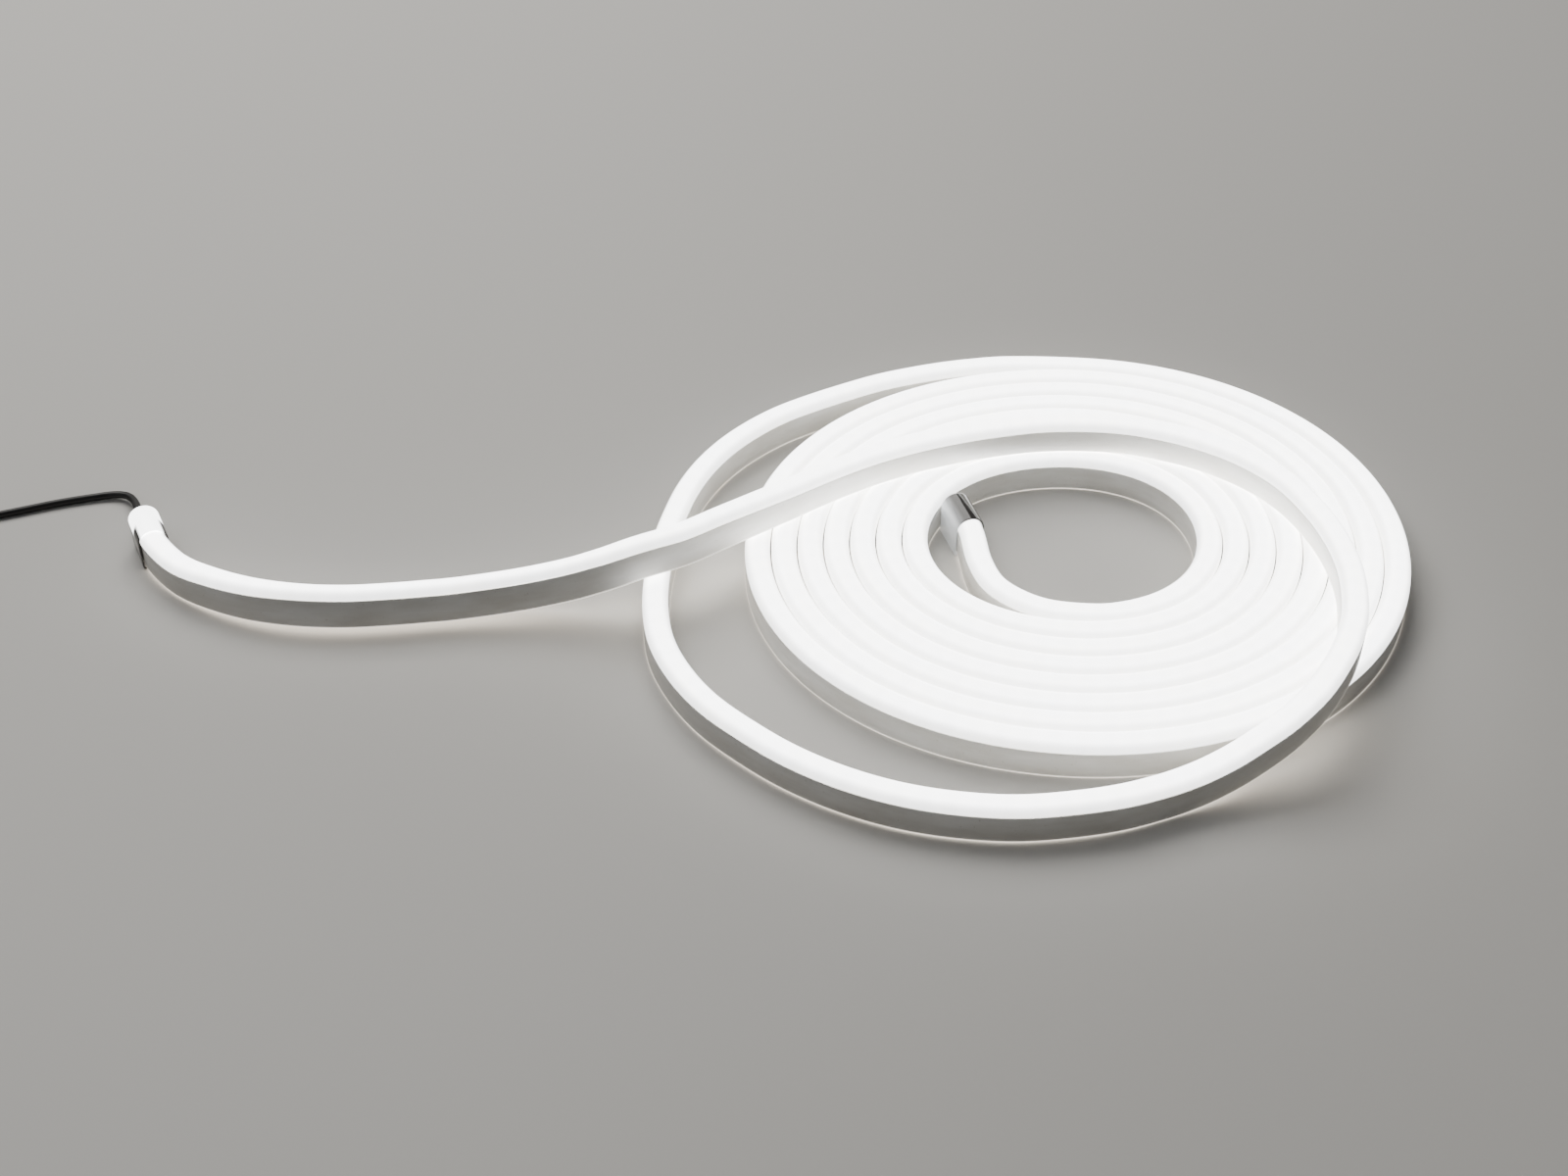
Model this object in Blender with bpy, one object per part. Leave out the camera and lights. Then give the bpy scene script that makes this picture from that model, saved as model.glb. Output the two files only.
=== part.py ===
# LED strip light: a five metre flexible strip of domed section, wound flat into a
# coil. Its outer end loops round the front, climbs over the coil and runs off to
# the left, where a cap holds the power lead. Metres, floor at z = 0.
from math import ceil, cos, hypot, pi, radians, sin, sqrt

import bmesh
import bpy

# Strip section
STRIP_WIDTH = 0.0088
JACKET_HEIGHT = 0.0098
STRIP_HEIGHT = 0.0140
PIECE_GAP = 0.0003
DOME_POINTS = 5

# Coil of the strip
FIRST_RADIUS = 0.04605
TURN_GAP = 0.00045
COIL_TURNS = 7.5
STATIONS_PER_TURN = 40
LOOSE_SPACING = 0.0085

# One unit of the route points, and the coil's radii that they were chosen for
ROUTE_UNIT = 0.001
DRAWN_INNER_RADIUS = 0.04165
DRAWN_OUTER_RADIUS = 0.119825

# End caps
CAP_WALL = 0.0007
CAP_LENGTH = 0.0165
CAP_GRIP = 0.0070
CAP_ROUNDING = 0.0012
END_RAMP = 0.030

# Power lead
LEAD_DIAMETER = 0.0028
LEAD_LENGTH = 1.2
LEAD_SPACING = 0.0065
LEAD_COIL_DIAMETER = 0.031
LEAD_PACKING = 0.75
LEAD_COIL_FACETS = 32
LEAD_TAIL = 0.030
LEAD_STRAIGHT = 0.0025
GLAND_LENGTH = 0.0040
GLAND_BIG = 0.0056
GLAND_SMALL = 0.0040

# Direct current plug at the far end of the lead
PLUG_BODY_LENGTH = 0.020
PLUG_BODY_DIAMETER = 0.0092
PLUG_NECK_LENGTH = 0.012
PLUG_NECK_DIAMETER = 0.0052
BARREL_LENGTH = 0.0095
BARREL_DIAMETER = 0.0055
BARREL_BORE = 0.0021
ROUND_SIDES = 24

# Waves of the turns about a round spiral: waves a turn, then cosine and sine on the
# first turn and what each gains by the last turn, in route units
COIL_WAVES = [
    (1, 0.78, -1.32, 0.22, 0.24),
    (2, 1.88, 0.95, 0.61, 1.84),
    (3, -0.28, 0.07, -0.03, -0.10),
    (4, -0.26, 0.10, 0.00, 0.00),
]

# Inner end of the strip, cap first: x and y in route units from the coil's centre
INNER_POINTS = [
    (-32.2, -16.5),
    (-27.9, -29.3),
    (-19.9, -37.9),
    (-10.3, -43.0),
]
INNER_MOUTH = (-34.4, 2.4)
INNER_HEADING = 105.5

# Loose part of the strip, from the coil to the outer cap: x and y in route units,
# height as a share of the seat on top of the coil, lean to the left in degrees
LOOSE_POINTS = [
    (-12.8, 112.4, 0.00, 0), (-25.5, 110.7, 0.00, 0), (-38.0, 108.0, 0.00, 0),
    (-50.5, 104.2, 0.00, 0), (-63.4, 99.3, 0.00, 0), (-76.2, 92.7, 0.00, 0),
    (-89.2, 85.2, 0.00, 0), (-102.0, 76.6, 0.00, 0), (-112.6, 66.9, 0.00, 0),
    (-122.2, 55.4, 0.00, 0), (-130.3, 41.9, 0.00, 0), (-136.1, 27.8, 0.00, 0),
    (-140.1, 12.6, 0.00, 0), (-143.4, -5.0, 0.00, 0), (-145.0, -25.5, 0.00, 0),
    (-144.5, -43.0, 0.00, 0),
    (-141.6, -59.4, 0.00, 0), (-135.0, -75.4, 0.00, 0), (-125.6, -90.2, 0.00, 1),
    (-113.0, -103.5, 0.00, 2), (-98.6, -115.5, 0.00, 2), (-81.8, -125.6, 0.00, 2),
    (-64.6, -132.5, 0.00, 2), (-47.3, -136.3, 0.00, 2), (-29.9, -137.6, 0.00, 2),
    (-12.4, -135.9, 0.00, 2), (2.6, -132.6, 0.00, 1), (17.0, -127.3, 0.00, 0),
    (29.6, -121.9, 0.07, 0), (42.2, -116.0, 0.28, 0), (54.3, -109.7, 0.63, 0),
    (60.4, -105.2, 0.81, 0), (67.4, -98.1, 0.94, 0), (75.8, -85.7, 1.00, 0),
    (81.0, -76.0, 1.00, 0), (85.8, -64.0, 1.00, 0), (89.0, -51.0, 1.00, 2),
    (90.6, -37.0, 1.00, 4), (89.8, -21.5, 1.00, 6), (86.5, -5.5, 1.00, 8),
    (78.6, 13.4, 1.00, 8), (66.2, 28.5, 1.00, 8), (52.5, 38.6, 1.00, 8),
    (38.1, 45.4, 1.00, 8), (23.2, 49.6, 1.00, 8), (6.9, 50.9, 1.00, 8),
    (-7.4, 50.2, 1.00, 8), (-22.8, 47.2, 1.00, 8), (-37.9, 42.8, 1.00, 7),
    (-52.3, 37.3, 1.00, 6), (-67.8, 29.6, 1.00, 4), (-82.5, 20.4, 1.00, 3),
    (-96.6, 10.1, 1.00, 1), (-110.1, -0.5, 1.00, -3), (-123.3, -11.0, 1.00, -7),
    (-136.4, -21.2, 1.00, -10), (-149.6, -28.6, 1.00, -13), (-159.0, -31.1, 0.80, -15),
    (-170.0, -31.9, 0.52, -17), (-185.0, -32.7, 0.26, -18), (-201.5, -34.2, 0.09, -19),
    (-218.1, -35.9, 0.00, -19), (-234.4, -38.0, 0.00, -19), (-250.8, -39.3, 0.00, -19),
    (-267.5, -38.3, 0.00, -18), (-284.7, -33.6, 0.00, -12), (-300.5, -26.0, 0.00, -6),
    (-313.3, -17.0, 0.00, 0),
]
OUTER_MOUTH = (-324.4, -4.5)
OUTER_HEADING = 116.5

# Power lead on the floor, from the gland to its coil: x and y in route units,
# height of its middle in lead diameters
LEAD_POINTS = [
    (-337.6, 22.0, 1.90), (-341.3, 29.8, 1.30), (-345.6, 34.9, 0.88), (-351.0, 36.4, 0.62),
    (-358.0, 35.2, 0.52),
    (-370.3, 31.7, 0.50), (-380.1, 28.0, 0.50), (-389.9, 24.3, 0.50), (-399.0, 21.0, 0.70),
    (-408.0, 18.0, 1.50),
]
LEAD_COIL_HEADING = -18.0
LEAD_COIL_REACH = 0.010


def clear_scene():
    for thing in list(bpy.data.objects):
        bpy.data.objects.remove(thing, do_unlink=True)


def finish_material(name, colour, roughness, metallic=0.0, glow=0.0):
    material = bpy.data.materials.new(name)
    material.use_nodes = True
    shader = material.node_tree.nodes["Principled BSDF"]
    shader.inputs["Base Color"].default_value = (*colour, 1.0)
    shader.inputs["Roughness"].default_value = roughness
    shader.inputs["Metallic"].default_value = metallic
    shader.inputs["Emission Color"].default_value = (*colour, 1.0)
    shader.inputs["Emission Strength"].default_value = glow
    return material


def jacket_material():
    return finish_material("white_silicone", (0.82, 0.80, 0.76), 0.48)


def diffuser_material():
    return finish_material("milky_silicone", (1.0, 0.93, 0.80), 0.40, glow=1.0)


def cap_material():
    return finish_material("grey_plastic", (0.30, 0.29, 0.28), 0.18)


def lead_material():
    return finish_material("black_pvc", (0.012, 0.012, 0.012), 0.42)


def plug_material():
    return finish_material("black_plastic", (0.018, 0.018, 0.018), 0.35)


def metal_material():
    return finish_material("nickel_plate", (0.66, 0.64, 0.60), 0.25, metallic=1.0)


def make_piece(name, mesh_data, material, smooth_angle=40.0):
    """Turn a bmesh into a named object with outward faces and one material."""
    bmesh.ops.recalc_face_normals(mesh_data, faces=mesh_data.faces)
    mesh = bpy.data.meshes.new(name)
    mesh_data.to_mesh(mesh)
    mesh_data.free()
    mesh.materials.append(material)
    mesh.shade_smooth()
    mesh.set_sharp_from_angle(angle=radians(smooth_angle))
    piece = bpy.data.objects.new(name, mesh)
    bpy.context.scene.collection.objects.link(piece)
    return piece


def span(mesh_data, near, far):
    """Band of triangles between two rings, each cell cut along its shorter diagonal."""
    count = len(near)
    for k in range(count):
        a, b = near[k], near[(k + 1) % count]
        c, d = far[(k + 1) % count], far[k]
        if (a.co - c.co).length <= (b.co - d.co).length:
            mesh_data.faces.new((a, b, c))
            mesh_data.faces.new((a, c, d))
        else:
            mesh_data.faces.new((a, b, d))
            mesh_data.faces.new((b, c, d))


def loft(rings):
    """Closed solid through rings of equal point count, with a flat face at each end."""
    mesh_data = bmesh.new()
    loops = [[mesh_data.verts.new(point) for point in ring] for ring in rings]
    for near, far in zip(loops, loops[1:]):
        span(mesh_data, near, far)
    mesh_data.faces.new(loops[0])
    mesh_data.faces.new(loops[-1])
    return mesh_data


def turned(profile, place, sides=ROUND_SIDES):
    """Solid of revolution: profile is (along, radius) pairs, place puts it in space."""
    rings = []
    for along, radius in profile:
        angles = [2 * pi * k / sides for k in range(sides)]
        rings.append([place(along, radius * cos(a), radius * sin(a)) for a in angles])
    return loft(rings)


def direction(heading):
    return cos(radians(heading)), sin(radians(heading))


def coil_point(turns):
    """Middle of the strip's underside in the coil, counted in turns from the front."""
    angle = radians(-90) + 2 * pi * turns
    share = turns / COIL_TURNS
    radius = FIRST_RADIUS + (STRIP_WIDTH + TURN_GAP) * turns
    for waves, cosine, sine, more_cosine, more_sine in COIL_WAVES:
        radius += ROUTE_UNIT * (cosine + more_cosine * share) * cos(waves * angle)
        radius += ROUTE_UNIT * (sine + more_sine * share) * sin(waves * angle)
    return radius * cos(angle), radius * sin(angle), 0.0, 0.0


def pushed_out(x, y, distance):
    """Move a plan point away from the coil's centre."""
    scale = 1 + distance / hypot(x, y)
    return x * scale, y * scale


def seat_height():
    return STRIP_HEIGHT + PIECE_GAP


def inner_push():
    return FIRST_RADIUS - STRIP_WIDTH / 2 - DRAWN_INNER_RADIUS


def outer_push():
    pitch = STRIP_WIDTH + TURN_GAP
    return FIRST_RADIUS + pitch * COIL_TURNS + STRIP_WIDTH / 2 - DRAWN_OUTER_RADIUS


def inner_mouth():
    x, y = INNER_MOUTH
    return pushed_out(x * ROUTE_UNIT, y * ROUTE_UNIT, inner_push())


def outer_mouth():
    x, y = OUTER_MOUTH
    return pushed_out(x * ROUTE_UNIT, y * ROUTE_UNIT, outer_push())


def strip_knots():
    """Route of the strip from the inner cap's mouth to the outer cap's mouth."""
    x, y = inner_mouth()
    knots = [(x, y, 0.0, 0.0)]
    for x, y in INNER_POINTS:
        knots.append((*pushed_out(x * ROUTE_UNIT, y * ROUTE_UNIT, inner_push()), 0.0, 0.0))
    for k in range(1, ceil(COIL_TURNS * STATIONS_PER_TURN)):
        knots.append(coil_point(k / STATIONS_PER_TURN))
    for x, y, lift, lean in LOOSE_POINTS:
        x, y = pushed_out(x * ROUTE_UNIT, y * ROUTE_UNIT, outer_push())
        knots.append((x, y, lift * seat_height(), radians(lean)))
    x, y = outer_mouth()
    knots.append((x, y, 0.0, 0.0))
    return knots


def mix(a, b, t, start, end):
    """Blend two points linearly as t goes from start to end."""
    share = (t - start) / (end - start)
    return tuple(p + (q - p) * share for p, q in zip(a, b))


def smooth_path(knots, spacing, before, after, lowest=0.0):
    """Centripetal spline through the knots, resampled about every spacing."""
    points = [before, *knots, after]
    path = []
    for p0, p1, p2, p3 in zip(points, points[1:], points[2:], points[3:]):
        times = [0.0]
        for a, b in ((p0, p1), (p1, p2), (p2, p3)):
            reach = sqrt(sum((b[k] - a[k]) ** 2 for k in range(3)))
            times.append(times[-1] + sqrt(max(reach, 1e-9)))
        t0, t1, t2, t3 = times
        length = (t2 - t1) ** 2
        steps = max(1, round(length / spacing))
        for step in range(steps):
            t = t1 + (t2 - t1) * step / steps
            a1 = mix(p0, p1, t, t0, t1)
            a2 = mix(p1, p2, t, t1, t2)
            a3 = mix(p2, p3, t, t2, t3)
            b1 = mix(a1, a2, t, t0, t2)
            b2 = mix(a2, a3, t, t1, t3)
            x, y, z, *rest = mix(b1, b2, t, t1, t2)
            path.append((x, y, max(z, lowest), *rest))
    path.append(knots[-1])
    return path


def step_from(point, heading, distance):
    """The point at a distance along a heading, at the same height and lean."""
    along_x, along_y = direction(heading)
    return (point[0] + distance * along_x, point[1] + distance * along_y, *point[2:])


def strip_stations():
    """Stations along the whole strip, with its straight ends inside the caps."""
    knots = strip_knots()
    before = step_from(knots[0], INNER_HEADING, CAP_LENGTH)
    after = step_from(knots[-1], OUTER_HEADING, CAP_LENGTH)
    path = smooth_path(knots, LOOSE_SPACING, before, after)
    path.insert(0, step_from(knots[0], INNER_HEADING, CAP_GRIP))
    path.append(step_from(knots[-1], OUTER_HEADING, CAP_GRIP))
    return raise_ends(path)


def raise_ends(path):
    """Lift both ends of the strip onto the floors of their caps."""
    travelled = [0.0]
    for a, b in zip(path, path[1:]):
        travelled.append(travelled[-1] + hypot(b[0] - a[0], b[1] - a[1]))
    raised = []
    for point, run in zip(path, travelled):
        to_mouth = min(run, travelled[-1] - run) - CAP_GRIP - PIECE_GAP
        share = min(1.0, max(0.0, 1 - to_mouth / END_RAMP))
        lift = (CAP_WALL + PIECE_GAP) * share * share * (3 - 2 * share)
        raised.append((point[0], point[1], point[2] + lift, point[3]))
    return raised


def plan_normals(path):
    """Unit vectors to the left of travel at each station."""
    last = len(path) - 1
    normals = []
    for k in range(len(path)):
        a = path[max(k - 1, 0)]
        b = path[min(k + 1, last)]
        reach = hypot(b[0] - a[0], b[1] - a[1])
        normals.append(((a[1] - b[1]) / reach, (b[0] - a[0]) / reach))
    normals[1] = normals[0]
    normals[last - 1] = normals[last]
    return normals


def place_section(station, normal, section):
    """Stand a section of (left, up) points at a station, leaning over its lower edge."""
    x, y, base, lean = station
    pivot = 0.0
    if lean != 0.0:
        pivot = STRIP_WIDTH / 2 * (1 if lean > 0 else -1)
    ring = []
    for left, up in section:
        left = left - pivot
        across = pivot + left * cos(lean) + up * sin(lean)
        height = base - left * sin(lean) + up * cos(lean)
        ring.append((x + normal[0] * across, y + normal[1] * across, height))
    return ring


def jacket_section():
    half = STRIP_WIDTH / 2
    return [(half, 0.0), (half, JACKET_HEIGHT), (-half, JACKET_HEIGHT), (-half, 0.0)]


def dome(half_width, foot, top, points):
    """Half ellipse from the left foot over the top to the right foot."""
    angles = [pi * (k + 1) / (points + 1) for k in range(points)]
    return [(half_width * cos(a), foot + (top - foot) * sin(a)) for a in angles]


def diffuser_section():
    half = STRIP_WIDTH / 2
    foot = JACKET_HEIGHT + PIECE_GAP
    arc = dome(half, foot, STRIP_HEIGHT, DOME_POINTS)
    return [(half, foot), *arc, (-half, foot)]


def build_strip(name, section, material):
    stations = strip_stations()
    normals = plan_normals(stations)
    rings = [place_section(s, n, section) for s, n in zip(stations, normals)]
    return make_piece(name, loft(rings), material, smooth_angle=50.0)


def cap_section(grow):
    """Outline round the strip in its cap, grown by a distance on every side."""
    half = STRIP_WIDTH / 2 + grow
    bottom = CAP_WALL + PIECE_GAP - grow
    shoulder = JACKET_HEIGHT + CAP_WALL + PIECE_GAP
    top = STRIP_HEIGHT + CAP_WALL + PIECE_GAP + grow
    return [(half, bottom), (half, shoulder), *dome(half, shoulder, top, DOME_POINTS),
            (-half, shoulder), (-half, bottom)]


def place_ring(mouth, heading, along, section):
    forward = direction(heading)
    ring = []
    for left, up in section:
        x = mouth[0] + forward[0] * along - forward[1] * left
        y = mouth[1] + forward[1] * along + forward[0] * left
        ring.append((x, y, up))
    return ring


def build_cap(name, mouth, heading):
    """Sleeve with a closed far end and a blind pocket for the strip."""
    outer = PIECE_GAP + CAP_WALL
    steps = [
        (CAP_LENGTH, outer - CAP_ROUNDING * 0.55),
        (CAP_LENGTH - CAP_ROUNDING * 0.3, outer - CAP_ROUNDING * 0.15),
        (CAP_LENGTH - CAP_ROUNDING, outer),
        (0.0, outer),
        (0.0, PIECE_GAP),
        (CAP_GRIP + PIECE_GAP, PIECE_GAP),
    ]
    rings = [place_ring(mouth, heading, along, cap_section(grow)) for along, grow in steps]
    return make_piece(name, loft(rings), cap_material())


def gland_point():
    """Middle of the outer cap's far face, where the gland stands."""
    x, y = step_from(outer_mouth(), OUTER_HEADING, CAP_LENGTH + PIECE_GAP)
    return x, y, STRIP_HEIGHT / 2 - 0.0005


def along_axis(origin, heading):
    """Placing function for turned pieces that lie level along a heading."""
    forward = direction(heading)

    def place(along, across, up):
        x = origin[0] + forward[0] * along - forward[1] * across
        y = origin[1] + forward[1] * along + forward[0] * across
        return x, y, origin[2] + up

    return place


def build_gland():
    place = along_axis(gland_point(), OUTER_HEADING)
    profile = [(0.0, GLAND_BIG / 2), (GLAND_LENGTH * 0.3, GLAND_BIG / 2),
               (GLAND_LENGTH, GLAND_SMALL / 2)]
    return make_piece("lead_gland", turned(profile, place), plug_material())


def lead_coil_turns():
    return LEAD_LENGTH / (pi * LEAD_COIL_DIAMETER)


def lead_bundle_radius():
    """Radius of the tied bundle that holds all the turns of the unseen length."""
    return LEAD_DIAMETER / 2 * sqrt(lead_coil_turns() / LEAD_PACKING)


def lead_knots():
    x, y, z = gland_point()
    start = step_from((x, y, z), OUTER_HEADING, GLAND_LENGTH + PIECE_GAP)
    push = outer_push()
    knots = [start, step_from(start, OUTER_HEADING, LEAD_STRAIGHT)]
    for x, y, up in LEAD_POINTS:
        x, y = pushed_out(x * ROUTE_UNIT, y * ROUTE_UNIT, push)
        knots.append((x, y, up * LEAD_DIAMETER))
    heading = LEAD_COIL_HEADING + 180
    level = (knots[-1][0], knots[-1][1], lead_bundle_radius())
    knots.append(step_from(level, heading, LEAD_COIL_REACH))
    knots.append(step_from(level, heading, LEAD_COIL_REACH + LEAD_STRAIGHT))
    return knots


def tube(name, path, diameter, material):
    """Round cord along a path, as a bevelled poly curve with filled ends."""
    curve = bpy.data.curves.new(name, "CURVE")
    curve.dimensions = "3D"
    curve.resolution_u = 1
    curve.render_resolution_u = 0
    curve.bevel_depth = diameter / 2
    curve.bevel_resolution = 2
    curve.use_fill_caps = True
    spline = curve.splines.new("POLY")
    spline.points.add(len(path) - 1)
    for point, place in zip(spline.points, path):
        point.co = (*place, 1.0)
    curve.materials.append(material)
    piece = bpy.data.objects.new(name, curve)
    bpy.context.scene.collection.objects.link(piece)
    return piece


def build_lead():
    knots = lead_knots()
    before = step_from(knots[0], OUTER_HEADING + 180, LEAD_SPACING)
    after = step_from(knots[-1], LEAD_COIL_HEADING + 180, LEAD_SPACING)
    path = smooth_path(knots, LEAD_SPACING, before, after, LEAD_DIAMETER / 2)
    return tube("power_lead", path, LEAD_DIAMETER, lead_material())


def lead_coil_centre():
    """Centre of the lead's coil, one facet away from the end of the lead."""
    end = lead_knots()[-1]
    reach = LEAD_COIL_DIAMETER / 2 + lead_bundle_radius() + PIECE_GAP
    return step_from(end, LEAD_COIL_HEADING + 180, reach)


def build_lead_coil():
    """Tied ring of all the unseen turns, flat facets facing the two lead ends."""
    x, y, z = lead_coil_centre()
    bundle = lead_bundle_radius()
    corners = [radians(22.5 + 45 * k) for k in range(8)]
    stretch = bundle / cos(radians(22.5))
    mesh_data = bmesh.new()
    rings = []
    for k in range(LEAD_COIL_FACETS):
        angle = radians(LEAD_COIL_HEADING) + 2 * pi * (k + 0.5) / LEAD_COIL_FACETS
        ring = []
        for corner in corners:
            out = LEAD_COIL_DIAMETER / 2 + stretch * cos(corner)
            out /= cos(pi / LEAD_COIL_FACETS)
            height = z + stretch * sin(corner)
            ring.append(mesh_data.verts.new((x + out * cos(angle), y + out * sin(angle), height)))
        rings.append(ring)
    for k, near in enumerate(rings):
        span(mesh_data, near, rings[(k + 1) % LEAD_COIL_FACETS])
    return make_piece("lead_coil", mesh_data, lead_material())


def lead_tail_points():
    """Short straight length from the coil's far side to the plug."""
    x, y, z = lead_coil_centre()
    start = LEAD_COIL_DIAMETER / 2 + lead_bundle_radius() + PIECE_GAP
    heading = LEAD_COIL_HEADING + 180
    low = PLUG_BODY_DIAMETER / 2
    first = step_from((x, y, z), heading, start)
    second = step_from((x, y, z), heading, start + LEAD_STRAIGHT)
    third = step_from((x, y, low), heading, start + LEAD_TAIL - LEAD_STRAIGHT)
    last = step_from((x, y, low), heading, start + LEAD_TAIL)
    return [first, second, third, last]


def build_lead_tail():
    knots = lead_tail_points()
    heading = LEAD_COIL_HEADING + 180
    before = step_from(knots[0], heading, -LEAD_SPACING)
    after = step_from(knots[-1], heading, LEAD_SPACING)
    path = smooth_path(knots, LEAD_SPACING, before, after, LEAD_DIAMETER / 2)
    return tube("lead_tail", path, LEAD_DIAMETER, lead_material())


def build_plug():
    origin = step_from(lead_tail_points()[-1], LEAD_COIL_HEADING + 180, PIECE_GAP)
    place = along_axis(origin, LEAD_COIL_HEADING + 180)
    neck = PLUG_NECK_DIAMETER / 2
    body = PLUG_BODY_DIAMETER / 2
    end = PLUG_NECK_LENGTH + PLUG_BODY_LENGTH
    profile = [(0.0, neck * 0.75), (PLUG_NECK_LENGTH, neck), (PLUG_NECK_LENGTH, body * 0.9),
               (PLUG_NECK_LENGTH + 0.001, body), (end - 0.0006, body), (end, body * 0.9)]
    plug = make_piece("dc_plug", turned(profile, place), plug_material())
    barrel_origin = step_from(origin, LEAD_COIL_HEADING + 180, end + PIECE_GAP)
    place = along_axis(barrel_origin, LEAD_COIL_HEADING + 180)
    outside = BARREL_DIAMETER / 2
    bore = BARREL_BORE / 2
    profile = [(0.0, outside), (BARREL_LENGTH, outside), (BARREL_LENGTH, bore),
               (BARREL_LENGTH * 0.1, bore)]
    barrel = make_piece("dc_plug_barrel", turned(profile, place), metal_material())
    return plug, barrel


def move_mesh(piece, shift):
    """Shift a piece by moving its points, so that it stays at the origin."""
    if piece.type == "CURVE":
        for point in piece.data.splines[0].points:
            x, y, z, weight = point.co
            point.co = (x + shift[0], y + shift[1], z, weight)
    else:
        for vertex in piece.data.vertices:
            vertex.co.x += shift[0]
            vertex.co.y += shift[1]


def middle_of(pieces):
    """Middle of the pieces' common box, seen from above."""
    xs = [v.co.x for piece in pieces for v in piece.data.vertices]
    ys = [v.co.y for piece in pieces for v in piece.data.vertices]
    return (min(xs) + max(xs)) / 2, (min(ys) + max(ys)) / 2


def main():
    clear_scene()
    own = [
        build_strip("jacket", jacket_section(), jacket_material()),
        build_strip("diffuser", diffuser_section(), diffuser_material()),
        build_cap("end_cap_outer", outer_mouth(), OUTER_HEADING),
        build_cap("end_cap_inner", inner_mouth(), INNER_HEADING),
    ]
    lead = [build_gland(), build_lead(), build_lead_coil(), build_lead_tail(), *build_plug()]
    x, y = middle_of(own)
    for piece in own + lead:
        move_mesh(piece, (-x, -y))
    print("coil centre in the frame, m:", round(-x, 6), round(-y, 6))


main()
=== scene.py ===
# %% [markdown]
# # A five metre LED strip light, lit and lying on a pale floor
# The real thing is a flexible silicone strip, 8.8 mm wide and 14 mm high. A white
# jacket with straight walls holds the lighting tape, and a milky dome on top spreads
# the light. Most of the strip is wound flat into a coil. Its outer end makes one loose
# loop round the front, climbs over the coil and runs off to the left, into a cap with
# the power lead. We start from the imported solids, which fix every place and size.

# %% Load the frame
import bpy
import bmesh
from math import atan, ceil, cos, hypot, pi, radians, sin, sqrt
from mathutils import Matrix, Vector


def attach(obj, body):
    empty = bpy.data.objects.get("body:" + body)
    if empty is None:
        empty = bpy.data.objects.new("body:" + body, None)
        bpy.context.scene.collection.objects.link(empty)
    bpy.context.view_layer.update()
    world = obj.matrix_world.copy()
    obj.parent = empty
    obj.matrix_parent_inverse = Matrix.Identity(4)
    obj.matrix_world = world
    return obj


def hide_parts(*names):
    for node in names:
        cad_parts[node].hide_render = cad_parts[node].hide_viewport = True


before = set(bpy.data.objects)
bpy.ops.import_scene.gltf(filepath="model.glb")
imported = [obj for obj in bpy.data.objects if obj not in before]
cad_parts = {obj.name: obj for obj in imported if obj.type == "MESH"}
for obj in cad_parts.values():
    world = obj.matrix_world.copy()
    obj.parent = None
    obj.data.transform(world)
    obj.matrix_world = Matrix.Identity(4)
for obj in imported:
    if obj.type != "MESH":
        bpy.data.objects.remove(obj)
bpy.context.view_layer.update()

# %% [markdown]
# ## Camera
# The viewpoint was worked out from the strip itself: its turns, all one height and
# one width, give the tilt, the distance and the field of view. The camera stands
# 0.44 m above the floor and looks 38.5 degrees down. It is placed from the middle of
# the coil, in millimetres, and so is everything else that was read off the object.

# %% Camera
MM = 0.001
COIL_X = 107.879 * MM
COIL_Y = 12.541 * MM
CAMERA_AT = (-100.86, -569.33, 439.1 * MM)
CAMERA_TILT = 38.5
CAMERA_LENS = 45.9


def from_coil(x, y, *rest):
    """A place given in millimetres from the middle of the coil. The rest is kept."""
    return (COIL_X + x * MM, COIL_Y + y * MM, *rest)


def add_camera():
    data = bpy.data.cameras.new("camera")
    data.lens = CAMERA_LENS
    data.sensor_width = 36.0
    data.clip_start = 0.02
    camera = bpy.data.objects.new("camera", data)
    camera.location = from_coil(*CAMERA_AT)
    camera.rotation_euler = (radians(90 - CAMERA_TILT), 0.0, 0.0)
    bpy.context.scene.collection.objects.link(camera)
    bpy.context.scene.camera = camera
    return camera


print("camera at", [round(c, 3) for c in add_camera().location])

# %% [markdown]
# ## Small helpers for shape
# A heading is an angle seen from above, a path is a list of points. The smooth path is
# a centripetal spline: it goes through each chosen point and never loops between two.

# %% Path helpers
PATH_STEP = 0.003


def direction(heading):
    return cos(radians(heading)), sin(radians(heading))


def step_from(point, heading, distance):
    """The point at a distance along a heading, with its other values unchanged."""
    x, y = direction(heading)
    return (point[0] + distance * x, point[1] + distance * y, *point[2:])


def eased(share):
    """Smooth way from 0 to 1, held at both ends."""
    share = min(1.0, max(0.0, share))
    return share * share * (3 - 2 * share)


def mix(a, b, t, start, end):
    share = (t - start) / (end - start)
    return tuple(p + (q - p) * share for p, q in zip(a, b))


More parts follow.
